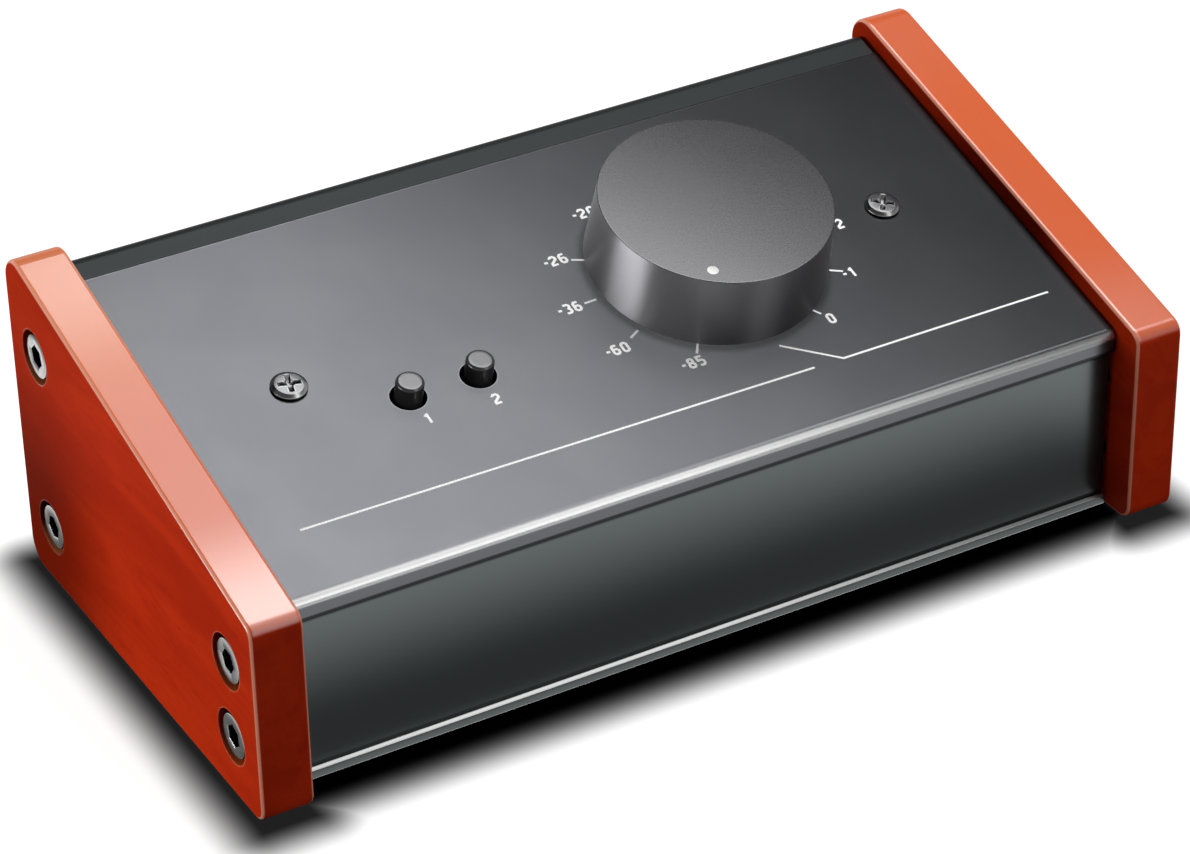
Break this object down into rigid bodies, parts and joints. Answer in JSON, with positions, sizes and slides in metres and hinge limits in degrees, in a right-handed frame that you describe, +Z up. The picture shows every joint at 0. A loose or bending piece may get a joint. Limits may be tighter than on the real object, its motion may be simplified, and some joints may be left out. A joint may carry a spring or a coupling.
{
  "type": "studio monitor controller",
  "caption": "Wedge-shaped desktop volume controller with wooden cheeks, a folded metal cover, one large knob, push buttons and rear audio sockets.",
  "frame": {"origin": "centre of the footprint, on the table under the feet", "axes": "+X to the right, +Y from the front to the connectors at the rear, +Z up"},
  "size_m": [0.19, 0.097, 0.0728],
  "materials": {
    "lacquered_wood": "glossy orange-red lacquer",
    "cover_paint": "satin grey powder coat",
    "channel_black": "black anodised, glossy",
    "knob_grey": "dark grey anodised, satin",
    "button_black": "smooth black",
    "screw_steel": "bright zinc plated",
    "panel_screw_steel": "nickel plated",
    "black_screw": "blackened",
    "brass": "plain",
    "nickel": "nickel plated",
    "steel_shaft": "turned",
    "board_green": "glass fibre with solder mask",
    "black_plastic": "moulded",
    "phenolic": "phenolic board",
    "ribbon_grey": "soft",
    "resistor_blue": "glazed",
    "dot_white": "white enamel",
    "foot_rubber": "matt",
    "contact_gold": "gold plated"
  },
  "bodies": {
    "base": {"cheek_left": "lacquered_wood", "cheek_right": "lacquered_wood", "chassis": "channel_black", "rear_panel": "channel_black", "top_cover": "cover_paint", "cheek_screws": "screw_steel", "cover_screws": "panel_screw_steel", "control_board_screws": "nickel", "connector_screws": "black_screw", "rear_board_screws": "nickel", "control_board_spacers": "brass", "rear_board_spacers": "brass", "control_board": "board_green", "rear_board": "board_green", "control_header": "black_plastic", "rear_header": "black_plastic", "ribbon_cable": "ribbon_grey", "resistors": "resistor_blue", "pot_body": "phenolic", "pot_bushing": "nickel", "pot_washer": "nickel", "pot_nut": "nickel", "mono_switch": "black_plastic", "mute_switch": "black_plastic", "input_socket_left": "black_plastic", "input_socket_right": "black_plastic", "output_shell_left": "nickel", "output_shell_right": "nickel", "output_insert_left": "black_plastic", "output_insert_right": "black_plastic", "output_pins_left": "contact_gold", "output_pins_right": "contact_gold", "mini_jack": "black_plastic", "mini_jack_nut": "nickel", "rubber_feet": "foot_rubber"},
    "volume": {"pot_shaft": "steel_shaft", "volume_knob": "knob_grey", "knob_pointer": "dot_white", "knob_set_screw": "black_screw"},
    "mono": {"mono_button": "button_black", "mono_plunger": "black_plastic"},
    "mute": {"mute_button": "button_black", "mute_plunger": "black_plastic"}
  },
  "joints": [
    {"name": "volume_turn", "type": "hinge", "parent": "base", "child": "volume", "pos_m": [0.023, 0.00158, 0.05177], "axis": [0, -0.2656, 0.9641], "range_deg": [-294, 0]},
    {"name": "mono_press", "type": "slide", "parent": "base", "child": "mono", "axis": [0, -0.2656, 0.9641], "range_m": [-0.0025, 0], "stiffness_N_per_m": 600},
    {"name": "mute_press", "type": "slide", "parent": "base", "child": "mute", "axis": [0, -0.2656, 0.9641], "range_m": [-0.0025, 0], "stiffness_N_per_m": 600}
  ]
}
